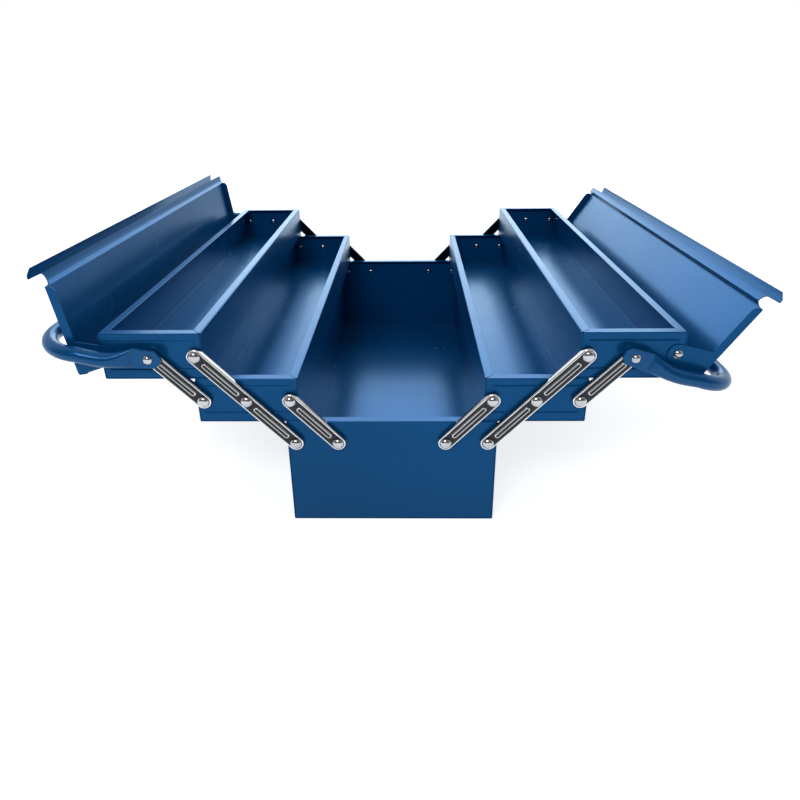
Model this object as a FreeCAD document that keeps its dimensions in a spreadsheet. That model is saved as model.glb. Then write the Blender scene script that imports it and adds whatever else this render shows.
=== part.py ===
import FreeCAD, Part
import math
import os
import re
import Sketcher
from FreeCAD import Placement, Rotation, Vector

# A cantilever tool box of folded sheet steel, standing open. A long base tray carries two
# middle trays, these carry two upper trays, and chromed arms at both ends keep them level.
# X runs to the right, Y from the front end to the rear end, Z up.
# The origin is the middle of the base's underside. All lengths are in millimetres.

SIZES = {
    # the box as a whole
    "box_length": 530,
    "base_width": 200,
    "base_height": 114,
    "sheet_thickness": 1,
    # folds and rims of the trays
    "bend_radius": 1.5,
    "rim_width": 8.5,
    "mitre_gap": 0.3,
    "corner_relief": 2,
    "weld_lap": 8,
    "end_round": 1,
    # pivots and the step from one tray to the next
    "pivot_drop": 21,
    "pivot_spacing": 40,
    "base_pivot_margin": 9,
    "middle_pivot_margin": 7.5,
    "upper_pivot_margin": 6.5,
    "stage_reach": 42.5,
    "stage_rise": 45.5,
    "tray_gap": 0.3,
    # grooves pressed into the tray ends
    "groove_width": 2,
    "groove_depth": 0.6,
    "groove_margin": 7,
    "groove_drop": 7.5,
    "groove_rise": 10,
    # arms
    "arm_width": 14.5,
    "arm_depth": 5,
    "arm_sheet": 1.2,
    "arm_gap": 0.3,
    "arm_round": 1.2,
    "bead_width": 5,
    "bead_height": 0.8,
    "bead_slope": 0.6,
    "bead_setback": 9.5,
    # rivets
    "shank_radius": 2.2,
    "shoulder_radius": 3,
    "running_clearance": 0.05,
    "rivet_play": 0.15,
    "tail_radius": 3.5,
    "tail_height": 1.2,
    "arm_head_radius": 5.8,
    "arm_head_height": 3,
    "arm_head_rim": 0.6,
    "small_head_radius": 4.2,
    "small_head_height": 2.5,
    "small_head_rim": 0.4,
    # lids
    "lid_width": 105.7,
    "lid_gap": 0.3,
    "lid_rise": 11.3,
    "skirt_reach": 7.7,
    "skirt_depth": 8,
    "flange_round": 6,
    "panel_width": 85.2,
    "joggle_width": 4,
    "joggle_step": 2.5,
    "strip_fall": 1,
    "ear_reach": 14,
    "ear_chamfer": 5,
    "ear_round": 2,
    "notch_radius": 5.5,
    "notch_inset": 3.3,
    "rear_reach": 3.5,
    "rear_setback": 44,
    "lug_radius": 9.5,
    # handles
    "handle_diameter": 14,
    "handle_length": 102,
    "handle_bend": 38,
    "handle_gap": 0.4,
    "bar_offset": 3.25,
    "flat_height": 22,
    "flat_thickness": 3.5,
    "flat_round": 1.2,
    "flat_heel": 11.5,
    "flat_length": 16,
    "flat_chamfer": 6.5,
    "neck_length": 22,
}

ANGLES = {
    "left_lid_angle": 97.8,
    "right_lid_angle": 123,
    "left_handle_angle": 6.5,
    "right_handle_angle": -18.7,
    "lug_flare_angle": 17,
}

# Lengths that follow from the sizes above.
DERIVED = {
    "half_length": "box_length / 2",
    "base_half": "base_width / 2",
    "middle_half": "pivot_spacing + middle_pivot_margin",
    "upper_half": "pivot_spacing + upper_pivot_margin",
    "tray_height": "stage_rise - tray_gap",
    "base_outer_pivot": "base_half - base_pivot_margin",
    "base_inner_pivot": "base_outer_pivot - pivot_spacing",
    "middle_centre": "base_outer_pivot + stage_reach",
    "upper_centre": "middle_centre + pivot_spacing + stage_reach",
    "base_pivot_z": "base_height - pivot_drop",
    "middle_pivot_z": "base_pivot_z + stage_rise",
    "upper_pivot_z": "middle_pivot_z + stage_rise",
    "middle_foot": "base_height + tray_gap",
    "upper_foot": "middle_foot + stage_rise",
    "arm_segment": "sqrt(stage_reach ^ 2 + stage_rise ^ 2)",
    "arm_angle": "atan2(stage_rise; stage_reach) / 1deg",
    "arm_half": "arm_width / 2",
    "bore_radius": "shoulder_radius + running_clearance",
    "arm_reach": "arm_gap + arm_depth + rivet_play",
    "handle_inside": "arm_gap + arm_depth + bead_height + handle_gap",
    "handle_reach": "handle_inside + flat_thickness + rivet_play",
    "lid_reach": "lid_gap + sheet_thickness + rivet_play",
    "skirt_x": "upper_pivot_margin + skirt_reach",
    "panel_top": "pivot_drop + lid_rise",
    "strip_x": "skirt_x - panel_width",
    "flange_y": "half_length + lid_gap + sheet_thickness",
    "ear_y": "flange_y + ear_reach",
    "lug_height": "panel_top - skirt_depth",
}

SAME_PLACE_SHARE = 1e-4
CIRCLE = 360

# The round bar's outline is split at these angles, to answer its pressed end's faces and corners.
FACE_ANGLE = 55
EDGE_ANGLE = 8

doc = FreeCAD.newDocument("cantilever_tool_box")
sheet = doc.addObject("Spreadsheet::Sheet", "Sizes")
for row, (alias, number) in enumerate({**SIZES, **ANGLES}.items(), 1):
    sheet.set(f"A{row}", alias.replace("_", " "))
    sheet.set(f"B{row}", str(number))
    sheet.setAlias(f"B{row}", alias)
doc.recompute()

nodes = []


def formula(text):
    """The text as an expression: a size becomes its cell, a derived length its own formula."""
    def spell(match):
        word = match.group(0)
        if word in DERIVED:
            return f"({formula(DERIVED[word])})"
        if word in SIZES or word in ANGLES:
            return f"Sizes.{word}"
        return word
    return re.sub(r"[a-z_]+", spell, str(text))


def read(text):
    return float(sheet.evalExpression(formula(text)))


def new_body(name):
    body = doc.addObject("PartDesign::Body", name)
    body.Label = name
    return body


def place(body, x, y, z, turn="rotationy(0)"):
    """Set the body down at a point of the box, turned as asked, as a node of the part."""
    spot = f"vector({formula(x)}; {formula(y)}; {formula(z)})"
    body.setExpression("Placement", f"placement({spot}; {formula(turn)})")
    nodes.append(body)


def sketch_on(body, name, plane, lift="0"):
    """An empty sketch on one of the body's own planes, lifted along its normal."""
    sketch = body.newObject("Sketcher::SketchObject", name)
    origin_plane = next(p for p in body.Origin.OriginFeatures if p.Role == plane)
    sketch.AttachmentSupport = [(origin_plane, "")]
    sketch.MapMode = "FlatFace"
    sketch.setExpression("AttachmentOffset.Base.z", formula(lift))
    return sketch


def hold(sketch, kind, item, spot, text):
    """Bind a coordinate or a radius of the sketch to a formula."""
    number = read(text)
    if kind == "Radius":
        index = sketch.addConstraint(Sketcher.Constraint(kind, item, number))
    else:
        index = sketch.addConstraint(Sketcher.Constraint(kind, -1, 1, item, spot, number))
    sketch.setExpression(f"Constraints[{index}]", formula(text))


def draw(sketch, corners, arcs=None):
    """Draw a closed outline. A side listed in arcs turns about its centre, by +1 or -1 sense."""
    arcs = arcs or {}
    first = sketch.GeometryCount
    spots = [Vector(read(x), read(y), 0) for x, y in corners]
    tips = []
    for side, spot in enumerate(spots):
        ahead = spots[(side + 1) % len(spots)]
        if side not in arcs:
            sketch.addGeometry(Part.LineSegment(spot, ahead))
            tips.append((1, 2))
            continue
        x, y, sense = arcs[side]
        centre = Vector(read(x), read(y), 0)
        begin, finish = (spot - centre, ahead - centre)[::sense]
        low = math.atan2(begin.y, begin.x)
        high = math.atan2(finish.y, finish.x)
        if high <= low:
            high += 2 * math.pi
        circle = Part.Circle(centre, Vector(0, 0, 1), begin.Length)
        sketch.addGeometry(Part.ArcOfCircle(circle, low, high))
        tips.append((1, 2)[::sense])
    for side, (start, end) in enumerate(tips):
        following = (side + 1) % len(tips)
        meeting = ("Coincident", first + side, end, first + following, tips[following][0])
        sketch.addConstraint(Sketcher.Constraint(*meeting))
    for side, (x, y) in enumerate(corners):
        hold(sketch, "DistanceX", first + side, tips[side][0], x)
        hold(sketch, "DistanceY", first + side, tips[side][0], y)
    for side, (x, y, sense) in arcs.items():
        chord = spots[(side + 1) % len(spots)] - spots[side]
        if abs(chord.y) > abs(chord.x):
            hold(sketch, "DistanceX", first + side, 3, x)
        else:
            hold(sketch, "DistanceY", first + side, 3, y)
    return sketch


def draw_circle(sketch, x, y, radius):
    item = sketch.addGeometry(Part.Circle(Vector(read(x), read(y), 0), Vector(0, 0, 1), read(radius)))
    hold(sketch, "Radius", item, 0, radius)
    hold(sketch, "DistanceX", item, 3, x)
    hold(sketch, "DistanceY", item, 3, y)


def draw_slot(sketch, start, end, radius):
    """A slot along the sketch's own X axis, from one end's centre to the other's."""
    corners = [(start, f"-({radius})"), (end, f"-({radius})"), (end, radius), (start, radius)]
    draw(sketch, corners, {1: (end, "0", 1), 3: (start, "0", 1)})


def pad(body, name, sketch, length, symmetric=False, reverse=False):
    feature = body.newObject("PartDesign::Pad", name)
    feature.Profile = sketch
    feature.setExpression("Length", formula(length))
    feature.SideType = "Symmetric" if symmetric else "One side"
    feature.Reversed = reverse
    return feature


def pocket(body, name, sketch, depth=None, symmetric=False, reverse=False):
    """Cut the sketch into the body, through all of it where no depth is given."""
    doc.recompute()
    before = body.Shape.Volume
    feature = body.newObject("PartDesign::Pocket", name)
    feature.Profile = sketch
    if depth is None:
        feature.Type = "ThroughAll"
    else:
        feature.setExpression("Length", formula(depth))
    feature.SideType = "Symmetric" if symmetric else "One side"
    feature.Reversed = reverse
    doc.recompute()
    if not body.Shape.Volume < before:
        raise RuntimeError(f"{body.Label}: {name} cuts nothing")
    return feature


def round_edges(body, name, radius, chosen, kind="Fillet"):
    """Round or chamfer the edges of the body that the test chooses."""
    doc.recompute()
    base = body.Tip
    edges = [f"Edge{k}" for k, edge in enumerate(base.Shape.Edges, 1) if chosen(edge)]
    if not edges:
        raise RuntimeError(f"{body.Label}: {name} finds no edge")
    feature = body.newObject(f"PartDesign::{kind}", name)
    feature.Base = (base, edges)
    feature.setExpression("Radius" if kind == "Fillet" else "Size", formula(radius))
    doc.recompute()
    return feature


def level(edge, axis, text):
    """Does the whole edge lie at this place along the axis?"""
    box = edge.BoundBox
    low, high = {"x": (box.XMin, box.XMax), "y": (box.YMin, box.YMax), "z": (box.ZMin, box.ZMax)}[axis]
    return max(abs(low - read(text)), abs(high - read(text))) < read(f"box_length * {SAME_PLACE_SHARE}")


def runs_along(edge, axis):
    box = edge.BoundBox
    spans = {"x": box.XLength, "y": box.YLength, "z": box.ZLength}
    return spans[axis] > read("sheet_thickness / 2") and all(
        span < read(f"box_length * {SAME_PLACE_SHARE}") for other, span in spans.items() if other != axis)


# Trays. Each is a trough folded from one sheet and two end plates spot-welded into it.

def build_trough(name, half, height, x, z):
    """Two walls, a floor and two rims folded inwards, with mitred and relieved rim ends."""
    body = new_body(name)
    inside = f"{half} - sheet_thickness"
    lip = f"{half} - rim_width"
    under = f"{height} - sheet_thickness"
    right = [(half, "0"), (half, height), (lip, height), (lip, under), (inside, under),
             (inside, "sheet_thickness")]
    left = [(f"-({across})", up) for across, up in reversed(right)]
    section = draw(sketch_on(body, "section", "XZ_Plane"), right + left)
    pad(body, "folded_sheet", section, "box_length", symmetric=True)
    folds = [f"{sign}({half})" for sign in ("", "-")]
    round_edges(body, "outer_folds", "bend_radius", lambda edge: runs_along(edge, "y") and any(
        level(edge, "x", fold) for fold in folds))
    mitres = sketch_on(body, "mitres", "XY_Plane", height)
    for across in ("", "-"):
        for along in ("", "-"):
            outer, inner = f"{across}({half})", f"{across}({lip})"
            relief = f"{across}({half} - corner_relief)"
            end, back = f"{along}(half_length)", f"{along}(half_length - rim_width)"
            step = f"{along}(half_length - corner_relief)"
            corners = [(outer, end), (inner, end), (inner, back), (relief, step), (outer, step)]
            draw(mitres, corners)
    pocket(body, "mitre_cuts", mitres, "corner_relief")
    place(body, x, "0", z)


def build_end(name, half, height, holes, grooved, x, z, turn):
    """A front end plate: its face, the lap welded inside the trough, its rim, rivet holes
    and, on a tray, two grooves that stiffen the face."""
    body = new_body(name)
    inside = f"{half} - sheet_thickness"
    lap = f"{half} - 2 * sheet_thickness"
    under = f"{height} - sheet_thickness"
    floor, shelf = "sheet_thickness", "2 * sheet_thickness"
    face = sketch_on(body, "face", "XZ_Plane", "half_length")
    draw(face, [(f"-({inside})", floor), (inside, floor), (inside, under), (f"-({inside})", under)])
    pad(body, "face_plate", face, "sheet_thickness", reverse=True)
    laps = sketch_on(body, "laps", "XZ_Plane", "half_length")
    right = [(inside, floor), (inside, under), (lap, under), (lap, shelf)]
    left = [(f"-({across})", up) for across, up in reversed(right)]
    draw(laps, right + left)
    pad(body, "weld_laps", laps, "weld_lap", reverse=True)
    rim = sketch_on(body, "rim", "XY_Plane", under)
    corner = f"{half} - corner_relief - mitre_gap"
    tips = [(corner, "-(half_length)"), (corner, "-(half_length - corner_relief + mitre_gap)"),
            (f"{half} - rim_width - mitre_gap", "-(half_length - rim_width)")]
    mirrored = [(f"-({across})", along) for across, along in reversed(tips)]
    draw(rim, tips + mirrored)
    pad(body, "folded_rim", rim, "sheet_thickness")
    round_edges(body, "face_folds", "end_round", lambda edge: level(edge, "y", "-(half_length)") and (
        level(edge, "z", floor) or any(level(edge, "x", f"{sign}({inside})") for sign in ("", "-"))))
    round_edges(body, "rim_fold", "end_round", lambda edge: level(
        edge, "y", "-(half_length)") and level(edge, "z", height))
    if grooved:
        grooves = sketch_on(body, "grooves", "YZ_Plane")
        for middle in (f"{height} - groove_drop", "groove_rise"):
            face_y = "-(half_length)"
            draw(grooves, [(face_y, f"{middle} - groove_width / 2"),
                           ("-(half_length - groove_depth)", middle),
                           (face_y, f"{middle} + groove_width / 2")])
        pocket(body, "pressed_grooves", grooves, f"2 * ({half} - groove_margin)", symmetric=True)
    rivet_holes = sketch_on(body, "rivet_holes", "XZ_Plane", "half_length")
    for across in holes:
        draw_circle(rivet_holes, across, f"{height} - pivot_drop", "shank_radius")
    pocket(body, "rivet_bores", rivet_holes)
    place(body, x, "0", z, turn)


FRONT, REAR = "rotationz(0)", "rotationz(180)"


def build_tray(name, half, height, holes, grooved, x, z):
    build_trough(f"{name}_trough", half, height, x, z)
    for end, turn in (("front", FRONT), ("rear", REAR)):
        build_end(f"{name}_{end}_end", half, height, holes, grooved, x, z, turn)


TRAY_HOLES = ("-(pivot_spacing)", "0", "pivot_spacing")
BASE_HOLES = ("-(base_outer_pivot)", "-(base_inner_pivot)", "base_inner_pivot", "base_outer_pivot")

build_tray("base", "base_half", "base_height", BASE_HOLES, False, "0", "0")
for hand, sign in (("left", "-"), ("right", "")):
    build_tray(f"{hand}_middle", "middle_half", "tray_height", TRAY_HOLES, True,
               f"{sign}(middle_centre)", "middle_foot")
    build_tray(f"{hand}_upper", "upper_half", "tray_height", TRAY_HOLES, True,
               f"{sign}(upper_centre)", "upper_foot")


# Arms. Each is a pressed channel, its web outwards and its edge turned towards the trays,
# with a long bead between each two pivots.

def build_arm(name, segments, x, z, hand, end):
    body = new_body(name)
    length = f"{segments} * arm_segment"
    blank = sketch_on(body, "blank", "XZ_Plane")
    draw_slot(blank, "0", length, "arm_half")
    pad(body, "pressing", blank, "arm_depth")
    round_edges(body, "pressed_edge", "arm_round", lambda edge: level(edge, "y", "-(arm_depth)"))
    hollow = sketch_on(body, "hollow", "XZ_Plane")
    draw_slot(hollow, "0", length, "arm_half - arm_sheet")
    pocket(body, "channel", hollow, "arm_depth - arm_sheet", reverse=True)
    for segment in range(segments):
        start = f"{segment} * arm_segment + bead_setback + bead_width / 2"
        end_of_bead = f"{segment + 1} * arm_segment - bead_setback - bead_width / 2"
        bead = sketch_on(body, f"bead_{segment + 1}", "XZ_Plane", "arm_depth")
        draw_slot(bead, start, end_of_bead, "bead_width / 2")
        pad(body, f"pressed_bead_{segment + 1}", bead, "bead_height")
    round_edges(body, "bead_slopes", "bead_slope", lambda edge: level(
        edge, "y", "-(arm_depth + bead_height)"), kind="Chamfer")
    bores = sketch_on(body, "bores", "XZ_Plane")
    for pivot in range(segments + 1):
        draw_circle(bores, f"{pivot} * arm_segment", "0", "bore_radius")
    pocket(body, "pivot_bores", bores, reverse=True)
    lean = "arm_angle" if hand == "right" else "(180 - arm_angle)"
    flip, y = ("0", "-(half_length + arm_gap)") if end == "front" else ("180", "half_length + arm_gap")
    place(body, x, y, z, f"rotationy(-{lean}) * rotationx({flip})")


for hand, sign in (("left", "-"), ("right", "")):
    for end in ("front", "rear"):
        arm = f"{hand}_{end}"
        build_arm(f"{arm}_long_arm", 2, f"{sign}(base_outer_pivot)", "base_pivot_z", hand, end)
        build_arm(f"{arm}_lower_arm", 1, f"{sign}(base_inner_pivot)", "base_pivot_z", hand, end)
        build_arm(f"{arm}_upper_arm", 1, f"{sign}(middle_centre + pivot_spacing)",
                  "middle_pivot_z", hand, end)


# Rivets. Each has a shank set in an end plate, a tail closed over inside, a shoulder that
# the arm, lid or handle turns on, and a domed head.

def dome_centre(tip, rise, radius):
    """The centre, on the rivet's axis, of a dome with this tip, rise and edge radius."""
    return f"{tip} + ({radius} ^ 2 + ({rise}) ^ 2) / (2 * ({rise}))"


def build_rivet(name, reach, head_radius, head_height, head_rim):
    """One rivet on the Y axis, its head towards -Y and the plate's outer face at zero."""
    body = new_body(name)
    head_tip = f"-({reach} + {head_height})"
    tail_tip = "sheet_thickness + tail_height"
    head_middle = dome_centre(head_tip, f"{head_height} - {head_rim}", head_radius)
    tail_middle = f"2 * ({tail_tip}) - ({dome_centre(tail_tip, 'tail_height', 'tail_radius')})"
    corners = [("0", head_tip), (head_radius, f"-({reach} + {head_rim})"), (head_radius, f"-({reach})"),
               ("shoulder_radius", f"-({reach})"), ("shoulder_radius", "0"), ("shank_radius", "0"),
               ("shank_radius", "sheet_thickness"), ("tail_radius", "sheet_thickness"), ("0", tail_tip)]
    domes = {0: ("0", head_middle, 1), 7: ("0", tail_middle, 1)}
    profile = draw(sketch_on(body, "profile", "XY_Plane"), corners, domes)
    turned = body.newObject("PartDesign::Revolution", "turned_rivet")
    turned.Profile = profile
    turned.ReferenceAxis = (profile, ["V_Axis"])
    turned.Angle = CIRCLE
    doc.recompute()
    return body.Shape


def set_rivets(name, rivet, spots):
    """A group of like rivets, one at each spot of the front end and one of the rear end."""
    copies = []
    for x, z in spots:
        for turn, side in ((0, "-"), (180, "")):
            copy = rivet.copy()
            spot = Vector(read(x), read(f"{side}(half_length)"), read(z))
            copy.Placement = Placement(spot, Rotation(Vector(0, 0, 1), turn))
            copies.append(copy)
    group = doc.addObject("Part::Feature", name)
    group.Label = name
    group.Shape = Part.makeCompound(copies)
    group.Placement = Placement()
    nodes.append(group)


arm_head = ("arm_head_radius", "arm_head_height", "arm_head_rim")
small_head = ("small_head_radius", "small_head_height", "small_head_rim")
arm_rivet = build_rivet("arm_rivet", "arm_reach", *arm_head)
handle_rivet = build_rivet("handle_rivet", "handle_reach", *small_head)
lid_rivet = build_rivet("lid_rivet", "lid_reach", *small_head)

set_rivets("base_rivets", arm_rivet, [(across, "base_pivot_z") for across in BASE_HOLES])
for hand, sign in (("left", "-"), ("right", "")):
    middle = [(f"{sign}(middle_centre) + {across}", "middle_pivot_z") for across in TRAY_HOLES]
    set_rivets(f"{hand}_middle_rivets", arm_rivet, middle)
    set_rivets(f"{hand}_upper_rivets", arm_rivet,
               [(f"{sign}(upper_centre - pivot_spacing)", "upper_pivot_z")])
    set_rivets(f"{hand}_handle_rivets", handle_rivet, [(f"{sign}(upper_centre)", "upper_pivot_z")])
    set_rivets(f"{hand}_lid_rivets", lid_rivet,
               [(f"{sign}(upper_centre + pivot_spacing)", "upper_pivot_z")])


# Lids. Each is a folded panel with a skirt along its hinge side, a flange and a hinge lug at
# each end, and a joggled strip along its free side that laps over or under the other lid's.

def build_lid(name, step, x, angle, turn, front, rear):
    """A lid about its hinge line, closed, with the hinge side towards +X. Its own Y axis
    meets the box's front end on the side that front tells by its sign, and the rear end
    on the other."""
    body = new_body(name)
    top, under = "panel_top", "panel_top - sheet_thickness"
    panel = draw(sketch_on(body, "panel", "XZ_Plane"), [
        ("skirt_x", "lug_height"), ("skirt_x", top), ("strip_x", top), ("strip_x", under),
        ("skirt_x - sheet_thickness", under), ("skirt_x - sheet_thickness", "lug_height")])
    pad(body, "panel_and_skirt", panel, "2 * flange_y", symmetric=True)
    round_edges(body, "skirt_fold", "bend_radius", lambda edge: runs_along(edge, "y") and level(
        edge, "x", "skirt_x") and level(edge, "z", top))

    # the strip's section: a joggle, a flat and, past a crease, a slightly falling free side
    high = f"{top} + ({step})"
    free = "skirt_x - lid_width"
    joggle = "strip_x - joggle_width"
    crease = "strip_x - 2 * notch_radius"
    upper_side = [("strip_x", top), (joggle, high), (crease, high), (free, f"{high} - strip_fall")]
    lower_side = [(across, f"{up} - sheet_thickness") for across, up in reversed(upper_side)]
    strip = draw(sketch_on(body, "strip", "XZ_Plane"), upper_side + lower_side)
    pad(body, "lap_strip", strip, "2 * ear_y", symmetric=True)

    for end, lift in (("front", "flange_y - sheet_thickness"), ("rear", "-(flange_y)")):
        flange = sketch_on(body, f"{end}_flange", "XZ_Plane", lift)
        rounded = ("strip_x + flange_round", "lug_height + flange_round")
        draw(flange, [
            ("skirt_x", "panel_top - bend_radius"), ("skirt_x", "lug_height"), ("lug_radius", "0"),
            ("-lug_radius * cos(lug_flare_angle)", "-lug_radius * sin(lug_flare_angle)"),
            ("-lug_radius * cos(lug_flare_angle) - tan(lug_flare_angle)"
             " * (lug_height + lug_radius * sin(lug_flare_angle))", "lug_height"),
            (rounded[0], "lug_height"), ("strip_x", rounded[1]), ("strip_x", under),
            ("skirt_x - bend_radius", under)],
            {2: ("0", "0", -1), 5: (*rounded, -1)})
        pad(body, f"{end}_flange_and_lug", flange, "sheet_thickness")

    # the strip's front end has a round notch beside an ear; its rear end stops in two steps
    trims = sketch_on(body, "trims", "XY_Plane", f"{top} + joggle_step")
    sense = 1 if front else -1
    base_y, tip_y = f"{front}(flange_y - notch_inset)", f"{front}(ear_y)"
    round_y, chamfer_y = f"{front}(ear_y - ear_round)", f"{front}(ear_y - ear_chamfer)"
    draw(trims, [("strip_x", tip_y), ("strip_x", base_y), (crease, base_y), (crease, round_y),
                 (f"{crease} - ear_round", tip_y)],
         {1: ("strip_x - notch_radius", base_y, sense), 3: (f"{crease} - ear_round", round_y, -sense)})
    draw(trims, [(free, tip_y), (f"{free} + ear_chamfer", tip_y), (free, chamfer_y)])
    step_y, stop_y = f"{rear}(flange_y + rear_reach)", f"{rear}(flange_y - rear_setback)"
    draw(trims, [("strip_x", f"{rear}(ear_y)"), ("strip_x", step_y), (crease, step_y),
                 (crease, stop_y), (free, stop_y), (free, f"{rear}(ear_y)")])
    pocket(body, "end_trims", trims)
    bore = sketch_on(body, "hinge_bore", "XZ_Plane")
    draw_circle(bore, "0", "0", "bore_radius")
    pocket(body, "hinge_bores", bore, "2 * ear_y", symmetric=True)
    place(body, x, "0", "upper_pivot_z", f"rotationy({angle}) * {turn}")


build_lid("left_lid", "joggle_step", "-(upper_centre + pivot_spacing)", "-left_lid_angle",
          REAR, "", "-")
build_lid("right_lid", "-joggle_step", "upper_centre + pivot_spacing", "right_lid_angle",
          FRONT, "-", "")


# Handles. Each is a round bar bent to a U, with both ends pressed flat and riveted on.

def build_handle(name, x, lean):
    """A handle about its pivot line, its legs towards +X."""
    body = new_body(name)
    inner_y = "half_length + handle_inside"
    axis_y = f"{inner_y} + flat_thickness / 2 + bar_offset"
    neck_start, neck_end = "flat_length", "flat_length + neck_length"
    elbow = "handle_length - handle_bend"

    path = sketch_on(body, "path", "XY_Plane")
    corner_y = f"{axis_y} - handle_bend"
    stations = [(neck_end, f"-({axis_y})"), (elbow, f"-({axis_y})"), ("handle_length", f"-({corner_y})"),
                ("handle_length", corner_y), (elbow, axis_y), (neck_end, axis_y)]
    bends = {1: (elbow, f"-({corner_y})", 1), 3: (elbow, corner_y, 1)}
    draw_open(path, stations, bends)
    bar = sketch_on(body, "bar_section", "YZ_Plane", neck_end)
    draw_circle(bar, f"-({axis_y})", "0", "handle_diameter / 2")
    tube = body.newObject("PartDesign::AdditivePipe", "bent_bar")
    tube.Profile = bar
    tube.Spine = path
    doc.recompute()

    for end, side in (("front", "-"), ("rear", "")):
        middle = f"{side}({inner_y} + flat_thickness / 2)"
        flat_half, round_half = "flat_thickness / 2", "flat_height / 2"
        pressed = sketch_on(body, f"{end}_pressed_section", "YZ_Plane", neck_start)
        draw_rounded(pressed, middle, flat_half, round_half, "flat_round")
        neck = body.newObject("PartDesign::AdditiveLoft", f"{end}_neck")
        round_section = sketch_on(body, f"{end}_round_section", "YZ_Plane", neck_end)
        draw_split_circle(round_section, f"{side}({axis_y})", "handle_diameter / 2")
        neck.Profile = pressed
        neck.Sections = [round_section]
        doc.recompute()
        flat = sketch_on(body, f"{end}_flat", "XZ_Plane", f"{'' if end == 'front' else '-'}({inner_y})")
        heel, cut = "-(flat_heel)", "-(flat_heel - flat_chamfer)"
        shoulder = f"{round_half} - flat_chamfer"
        draw(flat, [(neck_start, f"-({round_half})"), (neck_start, round_half), (cut, round_half),
                    (heel, shoulder), (heel, f"-({shoulder})"), (cut, f"-({round_half})")])
        pad(body, f"{end}_flat_end", flat, "flat_thickness", reverse=end == "rear")
    bore = sketch_on(body, "pivot_bore", "XZ_Plane")
    draw_circle(bore, "0", "0", "bore_radius")
    pocket(body, "pivot_bores", bore, f"2 * ({axis_y})", symmetric=True)
    place(body, x, "0", "upper_pivot_z", f"rotationy(-{lean})")


def draw_open(sketch, stations, bends):
    """An open path of straight runs and tangent bends through the stations."""
    spots = [Vector(read(x), read(y), 0) for x, y in stations]
    for run in range(len(spots) - 1):
        if run not in bends:
            sketch.addGeometry(Part.LineSegment(spots[run], spots[run + 1]))
            continue
        x, y, sense = bends[run]
        centre = Vector(read(x), read(y), 0)
        begin, finish = spots[run] - centre, spots[run + 1] - centre
        low = math.atan2(begin.y, begin.x)
        circle = Part.Circle(centre, Vector(0, 0, 1), begin.Length)
        sketch.addGeometry(Part.ArcOfCircle(circle, low, low + begin.getAngle(finish)))
    for run in range(len(spots) - 2):
        sketch.addConstraint(Sketcher.Constraint("Coincident", run, 2, run + 1, 1))
    for run, (x, y) in enumerate(stations[:-1]):
        hold(sketch, "DistanceX", run, 1, x)
        hold(sketch, "DistanceY", run, 1, y)
    hold(sketch, "DistanceX", len(spots) - 2, 2, stations[-1][0])
    hold(sketch, "DistanceY", len(spots) - 2, 2, stations[-1][1])
    for run, (x, y, sense) in bends.items():
        hold(sketch, "DistanceX", run, 3, x)


def draw_rounded(sketch, middle, across, up, corner):
    """An upright rounded bar section: four faces and four corner arcs, from its lower right."""
    right, left = f"{middle} + {across}", f"{middle} - ({across})"
    inner_right, inner_left = f"{right} - {corner}", f"{left} + {corner}"
    low, high = f"-({up})", up
    inner_low, inner_high = f"{low} + {corner}", f"{high} - {corner}"
    corners = [(right, inner_low), (right, inner_high), (inner_right, high), (inner_left, high),
               (left, inner_high), (left, inner_low), (inner_left, low), (inner_right, low)]
    draw(sketch, corners, {1: (inner_right, inner_high, 1), 3: (inner_left, inner_high, 1),
                           5: (inner_left, inner_low, 1), 7: (inner_right, inner_low, 1)})


def draw_split_circle(sketch, middle, radius):
    """A circle in eight arcs that answer the eight sides of the pressed section."""
    sides = ((0, FACE_ANGLE), (90, EDGE_ANGLE), (180, FACE_ANGLE), (270, EDGE_ANGLE))
    turns = [middle_turn + way * half_turn for middle_turn, half_turn in sides for way in (-1, 1)]
    corners = [(f"{middle} + {radius} * cos({turn})", f"{radius} * sin({turn})") for turn in turns]
    draw(sketch, corners, {side: (middle, "0", 1) for side in range(len(turns))})


build_handle("left_handle", "-(upper_centre)", "(180 - left_handle_angle)")
build_handle("right_handle", "upper_centre", "right_handle_angle")

doc.recompute()
for item in doc.Objects:
    if "Invalid" in item.State or "Error" in item.State:
        raise RuntimeError(f"{item.Label} failed: {item.State}")
for node in nodes:
    if node.Shape.isNull() or not node.Shape.isValid():
        raise RuntimeError(f"{node.Label} has no valid shape")

os.makedirs("parts", exist_ok=True)
for node in nodes:
    node.Shape.exportStep(f"parts/{node.Label}.step")
    box = node.Shape.BoundBox
    low = ", ".join(f"{number:.1f}" for number in (box.XMin, box.YMin, box.ZMin))
    high = ", ".join(f"{number:.1f}" for number in (box.XMax, box.YMax, box.ZMax))
    print(f"{node.Label}: {len(node.Shape.Solids)} solids, ({low}) to ({high})")
print(len(nodes), "nodes")
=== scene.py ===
import math

import bmesh
import bpy
from mathutils import Matrix, Vector


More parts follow.
